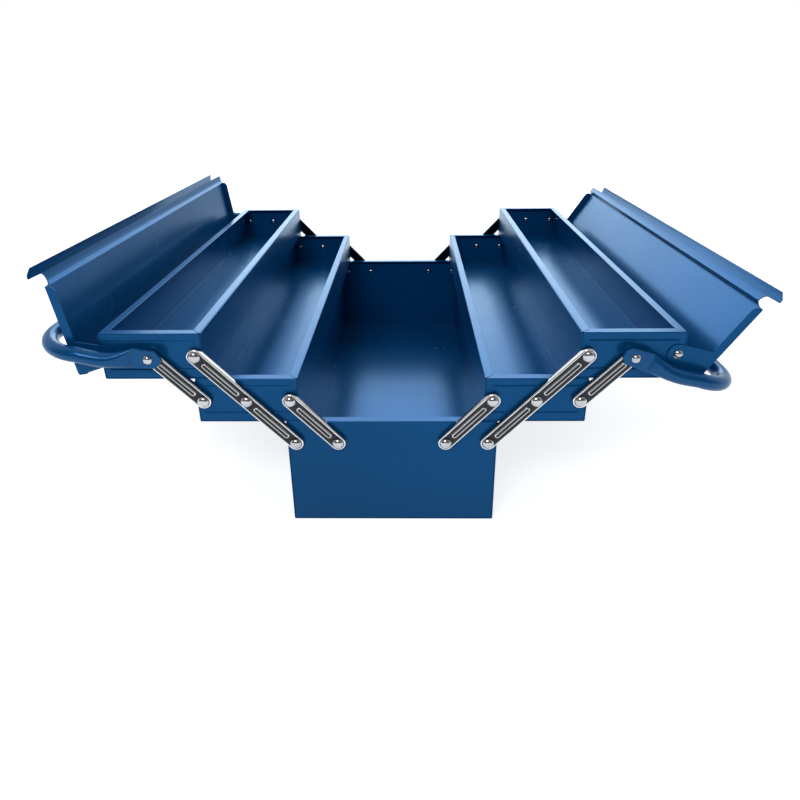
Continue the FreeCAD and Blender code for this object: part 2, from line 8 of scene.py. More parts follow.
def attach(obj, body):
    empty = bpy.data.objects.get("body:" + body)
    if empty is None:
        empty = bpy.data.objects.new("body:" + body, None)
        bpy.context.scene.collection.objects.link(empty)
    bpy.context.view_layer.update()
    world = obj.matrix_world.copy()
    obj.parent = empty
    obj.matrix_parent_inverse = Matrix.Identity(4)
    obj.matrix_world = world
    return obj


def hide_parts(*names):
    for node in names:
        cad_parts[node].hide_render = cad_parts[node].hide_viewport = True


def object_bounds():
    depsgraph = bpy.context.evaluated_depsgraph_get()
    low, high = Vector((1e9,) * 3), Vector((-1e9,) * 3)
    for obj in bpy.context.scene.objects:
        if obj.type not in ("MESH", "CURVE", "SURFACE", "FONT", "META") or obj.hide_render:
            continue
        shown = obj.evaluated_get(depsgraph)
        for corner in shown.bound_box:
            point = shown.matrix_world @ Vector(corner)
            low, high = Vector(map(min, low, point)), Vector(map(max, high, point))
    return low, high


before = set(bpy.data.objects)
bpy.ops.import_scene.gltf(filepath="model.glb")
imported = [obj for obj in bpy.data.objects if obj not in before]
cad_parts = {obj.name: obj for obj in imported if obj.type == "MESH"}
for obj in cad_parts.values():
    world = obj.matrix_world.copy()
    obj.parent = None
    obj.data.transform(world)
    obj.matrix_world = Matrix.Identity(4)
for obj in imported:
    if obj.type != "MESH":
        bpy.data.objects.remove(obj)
cad_low, cad_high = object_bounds()
MM = 0.001


# Trays. Each trough is one sheet of mild steel, folded up at the walls and in at the rims, with
# a pressed plate spot-welded into each end. After welding it gets a satin blue powder coat,
# which has a fine orange peel and holds a little dust. The sheet's edges are slightly round.

PAINT_BLUE = (0.002, 0.08, 0.245, 1)
PAINT_DEEP = (0.0015, 0.068, 0.21, 1)
DUST_GREY = (0.3, 0.33, 0.36, 1)
GLOSS_TINT = (0.52, 0.78, 0.92, 1)
DUST_DULLING = 0.35
PEEL_DEPTH = 0.05 * MM
SWELL_SHARE = 0.15
SHEET_EDGE = 0.28 * MM
SAME_POINT = 0.002 * MM
FLAT_WITHIN, EDGE_BEYOND = math.radians(0.3), math.radians(20)
FLAT_WEIGHT = 60


def add_node(tree, kind, at, **values):
    node = tree.nodes.new(kind)
    node.location = at
    for name, value in values.items():
        setattr(node, name, value)
    return node


def feed(tree, socket, value):
    """Link another node's output to a socket, or set a plain value there."""
    if isinstance(value, bpy.types.NodeSocket):
        tree.links.new(value, socket)
    else:
        socket.default_value = value


def noise(tree, at, vector, scale, detail, roughness=0.55):
    node = add_node(tree, "ShaderNodeTexNoise", at)
    names = ("Vector", "Scale", "Detail", "Roughness")
    for name, value in zip(names, (vector, scale, detail, roughness)):
        feed(tree, node.inputs[name], value)
    return node.outputs["Fac"]


def remap(tree, at, value, low, high, to_low=0, to_high=1):
    node = add_node(tree, "ShaderNodeMapRange", at, interpolation_type="SMOOTHSTEP")
    names = ("Value", "From Min", "From Max", "To Min", "To Max")
    for name, fed in zip(names, (value, low, high, to_low, to_high)):
        feed(tree, node.inputs[name], fed)
    return node.outputs["Result"]


def calculate(tree, at, operation, first, second):
    node = add_node(tree, "ShaderNodeMath", at, operation=operation)
    feed(tree, node.inputs[0], first)
    feed(tree, node.inputs[1], second)
    return node.outputs["Value"]


def blend_colours(tree, at, share, first, second):
    node = add_node(tree, "ShaderNodeMix", at, data_type="RGBA")
    feed(tree, node.inputs["Factor"], share)
    feed(tree, node.inputs[6], first)
    feed(tree, node.inputs[7], second)
    return node.outputs[2]


def add_bump(tree, at, height, strength, distance, shader):
    bump = add_node(tree, "ShaderNodeBump", at)
    bump.inputs["Strength"].default_value = strength
    bump.inputs["Distance"].default_value = distance
    tree.links.new(height, bump.inputs["Height"])
    tree.links.new(bump.outputs["Normal"], shader.inputs["Normal"])


def open_group(name, setting, default, result):
    """An empty shader group with one float setting, and its two end nodes."""
    tree = bpy.data.node_groups.new(name, "ShaderNodeTree")
    socket = tree.interface.new_socket(setting, in_out="INPUT", socket_type="NodeSocketFloat")
    socket.default_value = default
    tree.interface.new_socket(result, in_out="OUTPUT", socket_type="NodeSocketFloat")
    start = add_node(tree, "NodeGroupInput", (-900, 0))
    return tree, start.outputs[setting], add_node(tree, "NodeGroupOutput", (700, 0)).inputs[result]


def orange_peel_group():
    """Heights of a baked powder coat: soft pores a millimetre or two apart over a slow swell."""
    tree, pore_scale, height_out = open_group("orange_peel", "Pore Scale", 900.0, "Height")
    place = add_node(tree, "ShaderNodeTexCoord", (-900, -300)).outputs["Object"]
    pores = noise(tree, (-500, 100), place, scale=pore_scale, detail=2, roughness=0.5)
    swell = noise(tree, (-500, -200), place, scale=70, detail=1)
    swell = calculate(tree, (-200, -200), "MULTIPLY", swell, SWELL_SHARE)
    tree.links.new(calculate(tree, (100, 0), "ADD", pores, swell), height_out)
    return tree


def dust_group():
    """A mask of faint dust: it settles on what faces up and gathers in clouds."""
    tree, amount, mask_out = open_group("dust", "Amount", 0.3, "Mask")
    place = add_node(tree, "ShaderNodeTexCoord", (-900, -300)).outputs["Object"]
    geometry = add_node(tree, "ShaderNodeNewGeometry", (-900, 300))
    axes = add_node(tree, "ShaderNodeSeparateXYZ", (-700, 300))
    tree.links.new(geometry.outputs["Normal"], axes.inputs["Vector"])
    upwards = remap(tree, (-500, 300), axes.outputs["Z"], low=0.2, high=1)
    clouds = noise(tree, (-700, -100), place, scale=14, detail=6, roughness=0.7)
    clouds = remap(tree, (-500, -100), clouds, low=0.42, high=0.75)
    specks = noise(tree, (-700, -400), place, scale=1500, detail=2)
    specks = remap(tree, (-500, -400), specks, low=0.6, high=0.75)
    mask = calculate(tree, (-200, -200), "MAXIMUM", clouds, specks)
    mask = calculate(tree, (0, 0), "MULTIPLY", mask, upwards)
    tree.links.new(calculate(tree, (200, 0), "MULTIPLY", mask, amount), mask_out)
    return tree


orange_peel, dust = orange_peel_group(), dust_group()


def place_group(tree, group, at, setting, value):
    node = add_node(tree, "ShaderNodeGroup", at, node_tree=group)
    node.inputs[setting].default_value = value
    return node.outputs[0]


def new_material(name, **sockets):
    """A material with one Principled shader, whose plain sockets are set here."""
    material = bpy.data.materials.new(name)
    material.use_nodes = True
    shader = material.node_tree.nodes["Principled BSDF"]
    for label, value in sockets.items():
        shader.inputs[label.replace("_", " ")].default_value = value
    return material, material.node_tree, shader


def paint_material(name, dust_amount, peel_strength, coat_weight):
    material, tree, shader = new_material(
        name, Metallic=0.3, IOR=1.36, Specular_IOR_Level=0.3, Specular_Tint=GLOSS_TINT,
        Coat_Weight=coat_weight, Coat_Roughness=0.08)
    place = add_node(tree, "ShaderNodeTexCoord", (-1400, 0)).outputs["Object"]
    tone = noise(tree, (-1100, 300), place, scale=5, detail=1)
    tone = remap(tree, (-900, 300), tone, low=0.3, high=0.7)
    colour = blend_colours(tree, (-600, 300), tone, PAINT_DEEP, PAINT_BLUE)
    film = place_group(tree, dust, (-900, -200), "Amount", dust_amount)
    colour = blend_colours(tree, (-200, 300), film, colour, DUST_GREY)
    tree.links.new(colour, shader.inputs["Base Color"])

    smears = noise(tree, (-1100, -500), place, scale=22, detail=5, roughness=0.65)
    roughness = remap(tree, (-900, -500), smears, low=0.25, high=0.8, to_low=0.24, to_high=0.28)
    dusty = calculate(tree, (-600, -500), "MULTIPLY", film, DUST_DULLING)
    roughness = calculate(tree, (-400, -500), "ADD", roughness, dusty)
    tree.links.new(roughness, shader.inputs["Roughness"])

    peel = place_group(tree, orange_peel, (-900, -800), "Pore Scale", 850)
    add_bump(tree, (-400, -800), peel, peel_strength, PEEL_DEPTH, shader)
    return material


blue_paint = paint_material(
    "satin_blue_powder_coat", dust_amount=0.008, peel_strength=0.25, coat_weight=0.03)


def round_edges(piece, width, beyond):
    """Round the edges that are sharper than an angle."""
    edge = piece.modifiers.new("round_edges", "BEVEL")
    edge.width = width
    edge.segments = 2
    edge.limit_method = "ANGLE"
    edge.angle_limit = beyond
    edge.harden_normals = True


def dress(name):
    """Paint a solid's mesh and round its sharp edges, with the mesh left as it is."""
    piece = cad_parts[name]
    piece.data.materials.clear()
    piece.data.materials.append(blue_paint)
    piece.modifiers.new("weld", "WELD").merge_threshold = SAME_POINT
    flat = piece.modifiers.new("join_flats", "DECIMATE")
    flat.decimate_type = "DISSOLVE"
    flat.angle_limit = FLAT_WITHIN
    round_edges(piece, SHEET_EDGE, EDGE_BEYOND)
    even = piece.modifiers.new("even_shading", "WEIGHTED_NORMAL")
    even.keep_sharp = False
    even.weight = FLAT_WEIGHT


for tray in ("base", "left_middle", "left_upper", "right_middle", "right_upper"):
    for part in ("trough", "front_end", "rear_end"):
        dress(f"{tray}_{part}")


# Arms. Each is a channel pressed from steel strip and plated, its web outwards. The turned
# edge and the bead between the pivots are polished bright; the web between them stays dull and
# is painted near black, a painted dark reflection. They hang on the trays' rivets, in front and
# at the rear.

MIRROR_PLATE = (0.84, 0.85, 0.87, 1)
# the dull colour is a painted dark reflection: near black, far darker than dull plating
DULL_PLATE_DARK_REFLECTION = (0.032, 0.035, 0.04, 1)
BRUSHED_STRENGTH, BRUSHED_DEPTH = 0.2, 0.02 * MM
BASE_PIVOTS, BASE_LEVEL = (51, 91), 93
MIDDLE_PIVOTS, MIDDLE_LEVEL = (93.5, 133.5, 173.5), 138.5
STAGE = Vector((42.5, 45.5)) * MM
ARM_HALF, ARM_SHEET = 7.25 * MM, 1.2 * MM
ARM_START = 265.3 * MM
WEB_LEVEL, EDGE_LEVEL = 4.5 * MM, 5 * MM
BEAD_HALF, BEAD_SETBACK, BEAD_SINK = 2.5 * MM, 12 * MM, 0.02 * MM
PIVOT_BORE = 3.05
CAP_STEPS, BORE_STEPS = 18, 28
# the hollow side and the foot of the wall: inset from the outside, level, polish (low paints dark
# reflection)
HOLLOW_SIDE = (
    (ARM_SHEET, EDGE_LEVEL - ARM_SHEET, 0), (ARM_SHEET, 0, 0.1),
    (0.1 * MM, 0, 0.5), (0, 0.15 * MM, 0.4))
# from the crest of the turned edge to the web: inset and fall in millimetres, polish (low paints dark
# reflection)
EDGE_TO_WEB = (
    (1.35, 0.02, 1), (1.55, 0.12, 1), (1.75, 0.27, 0.6),
    (1.95, 0.4, 0.15), (2.2, 0.48, 0), (2.5, 0.5, 0))
# from the foot of the bead to its flat top: growth and rise in millimetres, polish (low paints dark
# reflection)
BEAD_PROFILE = (
    (0.35, 0, 0), (0.1, 0.1, 0.5), (0, 0.45, 1), (-0.12, 0.85, 1), (-0.4, 1.12, 1),
    (-0.75, 1.24, 0.8), (-1.05, 1.24, 0.35), (-1.45, 1.12, 0.05), (-1.7, 1.08, 0))


def plate_material(name, bright_plate, dull_roughness, bright_roughness, line_scale):
    """Plated steel, bright where the mesh's polish value is high and dull where it is low.
    The dull colour is near black, a painted dark reflection.
    """
    material, tree, shader = new_material(name, Metallic=1.0, IOR=2.5)
    place = add_node(tree, "ShaderNodeTexCoord", (-1400, 0)).outputs["Object"]
    # the polish value also blends in the near-black colour of the painted dark reflection
    polish_and_reflection = add_node(tree, "ShaderNodeAttribute", (-900, 600), attribute_name="polish_and_reflection").outputs["Fac"]
    film = noise(tree, (-1100, 300), place, scale=60, detail=5, roughness=0.7)
    film = remap(tree, (-900, 300), film, low=0.35, high=0.8, to_low=1, to_high=0.72)
    shine = calculate(tree, (-600, 400), "MULTIPLY", polish_and_reflection, film)
    colour = blend_colours(tree, (-300, 400), shine, DULL_PLATE_DARK_REFLECTION, bright_plate)
    tree.links.new(colour, shader.inputs["Base Color"])
    stretch = add_node(tree, "ShaderNodeMapping", (-1200, -200))
    stretch.inputs["Scale"].default_value = line_scale
    tree.links.new(place, stretch.inputs["Vector"])
    lines = noise(tree, (-900, -200), stretch.outputs["Vector"], scale=300, detail=3, roughness=0.6)
    lines = remap(tree, (-700, -200), lines, low=0.3, high=0.75, to_low=0, to_high=0.08)
    roughness = remap(
        tree, (-500, 0), polish_and_reflection, low=0, high=1, to_low=dull_roughness, to_high=bright_roughness)
    roughness = calculate(tree, (-300, -100), "ADD", roughness, lines)
    tree.links.new(roughness, shader.inputs["Roughness"])
    add_bump(tree, (-300, -400), lines, BRUSHED_STRENGTH, BRUSHED_DEPTH, shader)
    return material


arm_plate = plate_material(
    "plated_arm_strip", MIRROR_PLATE, dull_roughness=0.26, bright_roughness=0.09, line_scale=(1, 5, 1))


def new_mesh():
    """An empty mesh whose vertices can hold a polish value, which also sets a painted dark reflection.
    """
    mesh = bmesh.new()
    mesh.verts.layers.float.new("polish_and_reflection")
    return mesh


def slot_ring(mesh, length, radius, level):
    """A ring of vertices round a slot's outline, from one end's centre to the other's."""
    ring = []
    for centre, first in ((0, 90), (length, -90)):
        for step in range(CAP_STEPS + 1):
            angle = math.radians(first + 180 * step / CAP_STEPS)
            spot = (centre + radius * math.cos(angle), radius * math.sin(angle), level)
            ring.append(mesh.verts.new(spot))
    return ring


def round_ring(mesh, centre, radius, level, steps):
    turns = [2 * math.pi * step / steps for step in range(steps)]
    return [mesh.verts.new((centre + radius * math.cos(turn), radius * math.sin(turn), level))
            for turn in turns]


def bridge(mesh, first, second):
    """Faces between two rings of as many vertices."""
    for step in range(len(first)):
        after = (step + 1) % len(first)
        mesh.faces.new((first[step], first[after], second[after], second[step]))


def skin(mesh, rings, polish_and_reflection):
    """Bridge each ring to the next, and give each ring its share of polish and painted dark reflection.
    """
    layer = mesh.verts.layers.float["polish_and_reflection"]
    for ring, share in zip(rings, polish_and_reflection):
        for vertex in ring:
            vertex[layer] = share
    for first, second in zip(rings, rings[1:]):
        bridge(mesh, first, second)


def fill_plate(mesh, rim, holes):
    """A flat face inside the rim, round the holes."""
    edges = []
    for ring in [rim] + holes:
        for step, vertex in enumerate(ring):
            after = ring[(step + 1) % len(ring)]
            edges.append(mesh.edges.get((vertex, after)) or mesh.edges.new((vertex, after)))
    bmesh.ops.triangle_fill(mesh, use_beauty=True, use_dissolve=False, edges=edges)


def finish_mesh(mesh, name, material, body, replaced, crease_degrees):
    """Smooth a mesh up to the crease angle and put it on its body in place of the solid."""
    bmesh.ops.recalc_face_normals(mesh, faces=mesh.faces)
    for face in mesh.faces:
        face.smooth = True
    for edge in mesh.edges:
        edge.smooth = edge.calc_face_angle(0) < math.radians(crease_degrees)
    data = bpy.data.meshes.new(name)
    mesh.to_mesh(data)
    mesh.free()
    data.materials.append(material)
    piece = bpy.data.objects.new(name, data)
    bpy.context.scene.collection.objects.link(piece)
    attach(piece, body)
    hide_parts(replaced)
    return piece


def build_arm(hand, end, kind, segments, start):
    """An arm: its hollow side, its wall, its turned edge, its web and a bead on each segment."""
    mesh = new_mesh()
    segment = STAGE.length
    wall = EDGE_LEVEL - ARM_SHEET
    profile = list(HOLLOW_SIDE)
    for turn in range(0, 91, 15):
        inset = ARM_SHEET * (1 - math.cos(math.radians(turn)))
        rise = ARM_SHEET * math.sin(math.radians(turn))
        profile.append((inset, wall + rise, 1 if turn else 0.35))
    profile += [(inset * MM, EDGE_LEVEL - fall * MM, share) for inset, fall, share in EDGE_TO_WEB]
    length = segments * segment
    rings = [slot_ring(mesh, length, ARM_HALF - inset, level) for inset, level, _ in profile]
    skin(mesh, rings, [share for _, _, share in profile])
    pivots = [pivot * segment for pivot in range(segments + 1)]
    inner, outer = (
        [round_ring(mesh, pivot, PIVOT_BORE * MM, level, BORE_STEPS) for pivot in pivots]
        for level in (wall, WEB_LEVEL))
    for near, far in zip(inner, outer):
        bridge(mesh, near, far)
    fill_plate(mesh, rings[0], inner)
    fill_plate(mesh, rings[-1], outer)
    for index in range(segments):
        bead = []
        for grow, rise, _ in BEAD_PROFILE:
            ring = slot_ring(mesh, segment - 2 * BEAD_SETBACK, BEAD_HALF + grow * MM,
                             WEB_LEVEL + rise * MM - BEAD_SINK)
            for vertex in ring:
                vertex.co.x += index * segment + BEAD_SETBACK
            bead.append(ring)
        skin(mesh, bead, [share for _, _, share in BEAD_PROFILE])
        mesh.faces.new(bead[-1])
    across = 1 if hand == "right" else -1
    outward = -1 if end == "front" else 1
    along = Vector((across * STAGE.x, 0, STAGE.y)).normalized()
    out = Vector((0, outward, 0))
    place = Matrix((along, out.cross(along), out)).transposed().to_4x4()
    place.translation = (across * start[0] * MM, outward * ARM_START, start[1] * MM)
    mesh.transform(place)
    node = f"{hand}_{end}_{kind}"
    finish_mesh(mesh, f"{node}_pressing", arm_plate, f"{hand}_{kind}s", node, crease_degrees=38)


arm_kinds = (
    ("long_arm", 2, (BASE_PIVOTS[1], BASE_LEVEL)),
    ("lower_arm", 1, (BASE_PIVOTS[0], BASE_LEVEL)),
    ("upper_arm", 1, (MIDDLE_PIVOTS[2], MIDDLE_LEVEL)))
for hand in ("left", "right"):
    for end in ("front", "rear"):
        for kind, segments, start in arm_kinds:
            build_arm(hand, end, kind, segments, start)


# Rivets. Steel shoulder rivets, nickel plated, with domed heads outside and tails closed over
# inside the trays. The rim of each head is turned down a little and stays duller, its colour
# darkened as a painted dark reflection.

RIVET_PLATE = (0.56, 0.58, 0.61, 1)
UPPER_PIVOT, HANDLE_PIVOT, LID_PIVOT, UPPER_LEVEL = 176, 216, 256, 184
ARM_REACH, HANDLE_REACH, LID_REACH = 5.45, 10.15, 1.45
ARM_HEAD, TOP_ARM_HEAD, SMALL_HEAD = (5.4, 3), (5.6, 3), (4.2, 2.5)
BOX_END = 265
SHANK_RADIUS, SHOULDER_RADIUS, SHEET = 2.2, 3, 1
TAIL_SUNK = -0.9
RIVET_STEPS = 24
# from the middle of the tail through the end plate to the shoulder: radius, distance out, polish (low
# paints dark reflection)
TAIL_AND_SHANK = (
    (0.3, -2.9, 1), (2, -2.75, 1), (3.3, -2.3, 1), (4.1, -1.6, 0.7), (4.3, -SHEET, 0.3),
    (4.2, TAIL_SUNK, 0.3), (SHANK_RADIUS, TAIL_SUNK, 0.2), (SHANK_RADIUS, 0, 0.2),
    (SHOULDER_RADIUS, 0, 0.4))
# the turned rim of the head: inset from its radius, distance out from the shoulder, polish (low paints
# dark reflection)
HEAD_RIM = ((0.15, 0, 0.2), (0, 0.15, 0.3), (0, 0.5, 0.5), (0.2, 0.75, 0.9))
DOME_INSET, DOME_START, DOME_MIDDLE = 0.55, 0.7, 0.02

rivet_plate = plate_material(
    "plated_rivet_steel", RIVET_PLATE, dull_roughness=0.3, bright_roughness=0.1, line_scale=(1, 1, 1))


def build_rivets(node, spots, reach, head, body):
    """Like rivets at both ends of the box, at each spot across it."""
    mesh = new_mesh()
    head_radius, head_height = head
    profile = list(TAIL_AND_SHANK)
    profile.append((SHOULDER_RADIUS, reach, 0.4))
    profile += [(head_radius - inset, reach + out, share) for inset, out, share in HEAD_RIM]
    for turn in range(15, 91, 15):
        angle = math.radians(turn)
        profile.append(((head_radius - DOME_INSET) * math.cos(angle) + DOME_MIDDLE,
                        reach + DOME_START + (head_height - DOME_START) * math.sin(angle), 1))
    for across, up in spots:
        for outward in (-1, 1):
            rings = [round_ring(mesh, 0, radius * MM, level * MM, RIVET_STEPS)
                     for radius, level, _ in profile]
            skin(mesh, rings, [share for _, _, share in profile])
            mesh.faces.new(rings[0])
            mesh.faces.new(rings[-1])
            for ring in rings:
                for vertex in ring:
                    x, y, z = vertex.co
                    vertex.co = (across * MM + x, outward * (BOX_END * MM + z), up * MM + y)
    finish_mesh(mesh, f"{node}_plated", rivet_plate, body, node, crease_degrees=38)


base_spots = [(sign * across, BASE_LEVEL) for sign in (-1, 1) for across in BASE_PIVOTS]
build_rivets("base_rivets", sorted(base_spots), ARM_REACH, ARM_HEAD, "base_box")
for hand, sign in (("left", -1), ("right", 1)):
    middle_spots = [(sign * across, MIDDLE_LEVEL) for across in MIDDLE_PIVOTS]
    build_rivets(f"{hand}_middle_rivets", middle_spots, ARM_REACH, ARM_HEAD, f"{hand}_middle_tray")
    for kind, across, reach, head in (
            ("upper", UPPER_PIVOT, ARM_REACH, TOP_ARM_HEAD),
            ("handle", HANDLE_PIVOT, HANDLE_REACH, SMALL_HEAD),
            ("lid", LID_PIVOT, LID_REACH, SMALL_HEAD)):
        spots = [(sign * across, UPPER_LEVEL)]
        build_rivets(f"{hand}_{kind}_rivets", spots, reach, head, f"{hand}_upper_tray")


# Lids. Each is one painted sheet with a skirt along its hinge side, a flange with a hinge lug at
# each end, and a joggled, crowned strip along its free side that laps over or under the other
# lid's. The lugs turn on the outer rivets of the upper tray.

LID_TOP = 32.3
SKIRT, SKIRT_FOOT = 14.2, 24.3
STRIP, NOTCH_END, LID_FREE = -71, -82, -91.1
FLANGE_OUT, EAR_OUT, REAR_STEP, REAR_STOP = 266.3, 280.3, 269.8, 222.3
NOTCH_FLOOR = FLANGE_OUT - 3.3
EAR_CORNER, EAR_CHAMFER = 2, 5
LUG, LUG_FLARE = 9.5, math.radians(17)
FLANGE_CORNER, FLANGE_NICK = 6, 1.4
FOLD_ROUND, FOLD_STEPS = 1, 4
STRIP_PIECE = 0.6
LID_EDGE, LID_EDGE_BEYOND = 0.25 * MM, math.radians(50)
JOGGLE = 2.5
LEFT_LEAN, RIGHT_LEAN = math.radians(97.8), math.radians(123)
# the strip's crown: place across the lid, fall below its crest
STRIP_CROWN = ((STRIP - 4, 0.7), (STRIP - 8, 0), (-82, 0.1), (-87, 0.9), (LID_FREE, 1.8))


def round_corners(points):
    """The points with each inner corner turned into a short curve."""
    curve = [points[0]]
    for before, corner, after in zip(points, points[1:], points[2:]):
        corner = Vector(corner)
        first = corner + (Vector(before) - corner).normalized() * FOLD_ROUND
        last = corner + (Vector(after) - corner).normalized() * FOLD_ROUND
        for step in range(FOLD_STEPS + 1):
            share = step / FOLD_STEPS
            near, far = first.lerp(corner, share), corner.lerp(last, share)
            curve.append(tuple(near.lerp(far, share)))
    return curve + [points[-1]]


def sheet_section(step):
    """Pairs of points on the outer and the inner side of the sheet, from skirt to free edge."""
    crest = LID_TOP + step
    outer = round_corners([(SKIRT, SKIRT_FOOT), (SKIRT, LID_TOP), (STRIP, LID_TOP)]
                          + [(across, crest - fall) for across, fall in STRIP_CROWN])
    pairs = []
    for index, (across, up) in enumerate(outer):
        before, after = outer[max(index - 1, 0)], outer[min(index + 1, len(outer) - 1)]
        run = Vector((after[0] - before[0], after[1] - before[1])).normalized()
        pairs.append((Vector((across, up)), Vector((across + run.y * SHEET, up + run.x * SHEET))))
    section = []
    for (first, first_in), (last, last_in) in zip(pairs, pairs[1:]):
        pieces = max(1, math.ceil((first.x - last.x) / STRIP_PIECE)) if last.x < STRIP else 1
        for share in (piece / pieces for piece in range(pieces)):
            section.append((first.lerp(last, share), first_in.lerp(last_in, share)))
    return section + [pairs[-1]]


def strip_ends(across):
    """How far the sheet reaches to the front and to the rear at this place across it."""
    if across >= STRIP:
        return FLANGE_OUT, FLANGE_OUT
    if across > NOTCH_END:
        middle, reach = (STRIP + NOTCH_END) / 2, (STRIP - NOTCH_END) / 2
        return NOTCH_FLOOR - math.sqrt(max(reach ** 2 - (across - middle) ** 2, 0)), REAR_STEP
    trim = max(across - (NOTCH_END - EAR_CORNER), 0)
    corner = EAR_CORNER - math.sqrt(max(EAR_CORNER ** 2 - trim ** 2, 0))
    chamfer = max(LID_FREE + EAR_CHAMFER - across, 0)
    return EAR_OUT - max(corner, chamfer), REAR_STOP


def flange_outline():
    """The flange from the skirt round the hinge lug to the strip, seen from its own end."""
    lug_end = (-LUG * math.cos(LUG_FLARE), -LUG * math.sin(LUG_FLARE))
    outline = [(SKIRT, LID_TOP - FLANGE_NICK), (SKIRT, SKIRT_FOOT), (LUG, 0)]
    for turn in range(10, 180, 10):
        angle = math.radians(turn)
        if angle < math.pi - LUG_FLARE:
            outline.append((LUG * math.cos(angle), -LUG * math.sin(angle)))
    outline += [lug_end, (lug_end[0] - math.tan(LUG_FLARE) * (SKIRT_FOOT - lug_end[1]), SKIRT_FOOT)]
    for turn in range(0, 91, 15):
        angle = math.radians(270 - turn)
        outline.append((STRIP + FLANGE_CORNER + FLANGE_CORNER * math.cos(angle),
                        SKIRT_FOOT + FLANGE_CORNER + FLANGE_CORNER * math.sin(angle)))
    return outline + [(STRIP, LID_TOP - SHEET), (SKIRT - FLANGE_NICK, LID_TOP - SHEET)]


def build_lid(hand, step, lean):
    mesh = new_mesh()
    sign = 1 if hand == "right" else -1

    def spot(across, along, up):
        x = across * math.cos(lean) + up * math.sin(lean)
        z = up * math.cos(lean) - across * math.sin(lean)
        return mesh.verts.new(Vector((sign * (LID_PIVOT + x), along, UPPER_LEVEL + z)) * MM)

    rows = []
    for outer, inner in sheet_section(step):
        front, rear = strip_ends(outer.x)
        rows.append([spot(outer.x, -front, outer.y), spot(outer.x, rear, outer.y),
                     spot(inner.x, rear, inner.y), spot(inner.x, -front, inner.y)])
    for near, far in zip(rows, rows[1:]):
        bridge(mesh, near, far)
    mesh.faces.new(rows[0])
    mesh.faces.new(rows[-1])

    turns = [math.radians(turn) for turn in range(0, 360, 15)]
    bore = [(PIVOT_BORE * math.cos(turn), PIVOT_BORE * math.sin(turn)) for turn in turns]
    for end in (-1, 1):
        faces = []
        for depth in (FLANGE_OUT, FLANGE_OUT - SHEET):
            rings = [[spot(x, end * depth, z) for x, z in path] for path in (flange_outline(), bore)]
            fill_plate(mesh, rings[0], rings[1:])
            faces.append(rings)
        for near, far in zip(*faces):
            bridge(mesh, near, far)
    node = f"{hand}_lid"
    piece = finish_mesh(mesh, f"{node}_sheet", blue_paint, node, node, crease_degrees=35)
    round_edges(piece, LID_EDGE, LID_EDGE_BEYOND)


build_lid("left", JOGGLE, LEFT_LEAN)
build_lid("right", -JOGGLE, RIGHT_LEAN)


# Handles. Each is a bent round bar, painted as the box is, with both ends pressed flat and
# riveted on. The flat narrows to its cut heel, and a crest and a crease mark where the round
# begins. Hands polish the paint of the bar, so it is glossier than the trays.

HANDLE_LENGTH, HANDLE_BEND = 100.5, 39.5
BAR_LINE, FLAT_LINE = 276.5, 273.25
BAR_RADIUS, FLAT_HALF = 7, 1.75
BEND_HANG = -0.9
LEFT_RISE, RIGHT_RISE = math.radians(6.5), math.radians(-18.7)
# along the leg: distance from the rivet, half thickness, half height, squareness, hang of the middle
HANDLE_SECTIONS = (
    (-11.2, 1.3, 3.2, 9, 0), (-10.8, 1.65, 3.6, 9, 0), (-6.9, 1.75, 7.9, 12, 0),
    (-6.1, 1.75, 8.2, 12, 0), (4, 1.75, 8.7, 12, 0), (13.2, 1.75, 9.3, 12, 0),
    (13.9, 1.9, 9.3, 9, 0), (14.6, 2.4, 8.9, 6, -0.1), (18, 3.9, 8.2, 3.4, -0.5),
    (22, 5, 7.7, 2.8, -1.2), (27, 6, 7.25, 2.35, -2.1), (32, 6.7, 7.05, 2.1, -2.8),
    (37, 6.95, 7, 2, -3.1), (42, 7, 7, 2, -3.1), (48, 7, 7, 2, -2.7),
    (55, 7, 7, 2, -1.8), (61, 7, 7, 2, -0.9))
BEND_STEPS, RING_STEPS = 14, 40

handle_paint = paint_material(
    "polished_handle_paint", dust_amount=0.004, peel_strength=0.12, coat_weight=0.2)


def handle_stations():
    """The leg from heel to bend, then the bend up to the middle of the bar."""
    stations = []
    for along, half, height, square, hang in HANDLE_SECTIONS:
        share = (half - FLAT_HALF) / (BAR_RADIUS - FLAT_HALF)
        line = FLAT_LINE + max(share, 0) * (BAR_LINE - FLAT_LINE)
        stations.append((along, line, 0, half, height, square, hang))
    for step in range(1, BEND_STEPS + 1):
        turn = math.radians(90 * step / BEND_STEPS)
        along = HANDLE_LENGTH - HANDLE_BEND + HANDLE_BEND * math.sin(turn)
        line = BAR_LINE - HANDLE_BEND + HANDLE_BEND * math.cos(turn)
        stations.append((along, line, turn, BAR_RADIUS, BAR_RADIUS, 2, BEND_HANG * math.cos(turn)))
    return stations


def squared(value, square):
    """A sine or cosine of a round section, swelled towards a square one."""
    return math.copysign(abs(value) ** (2 / square), value)


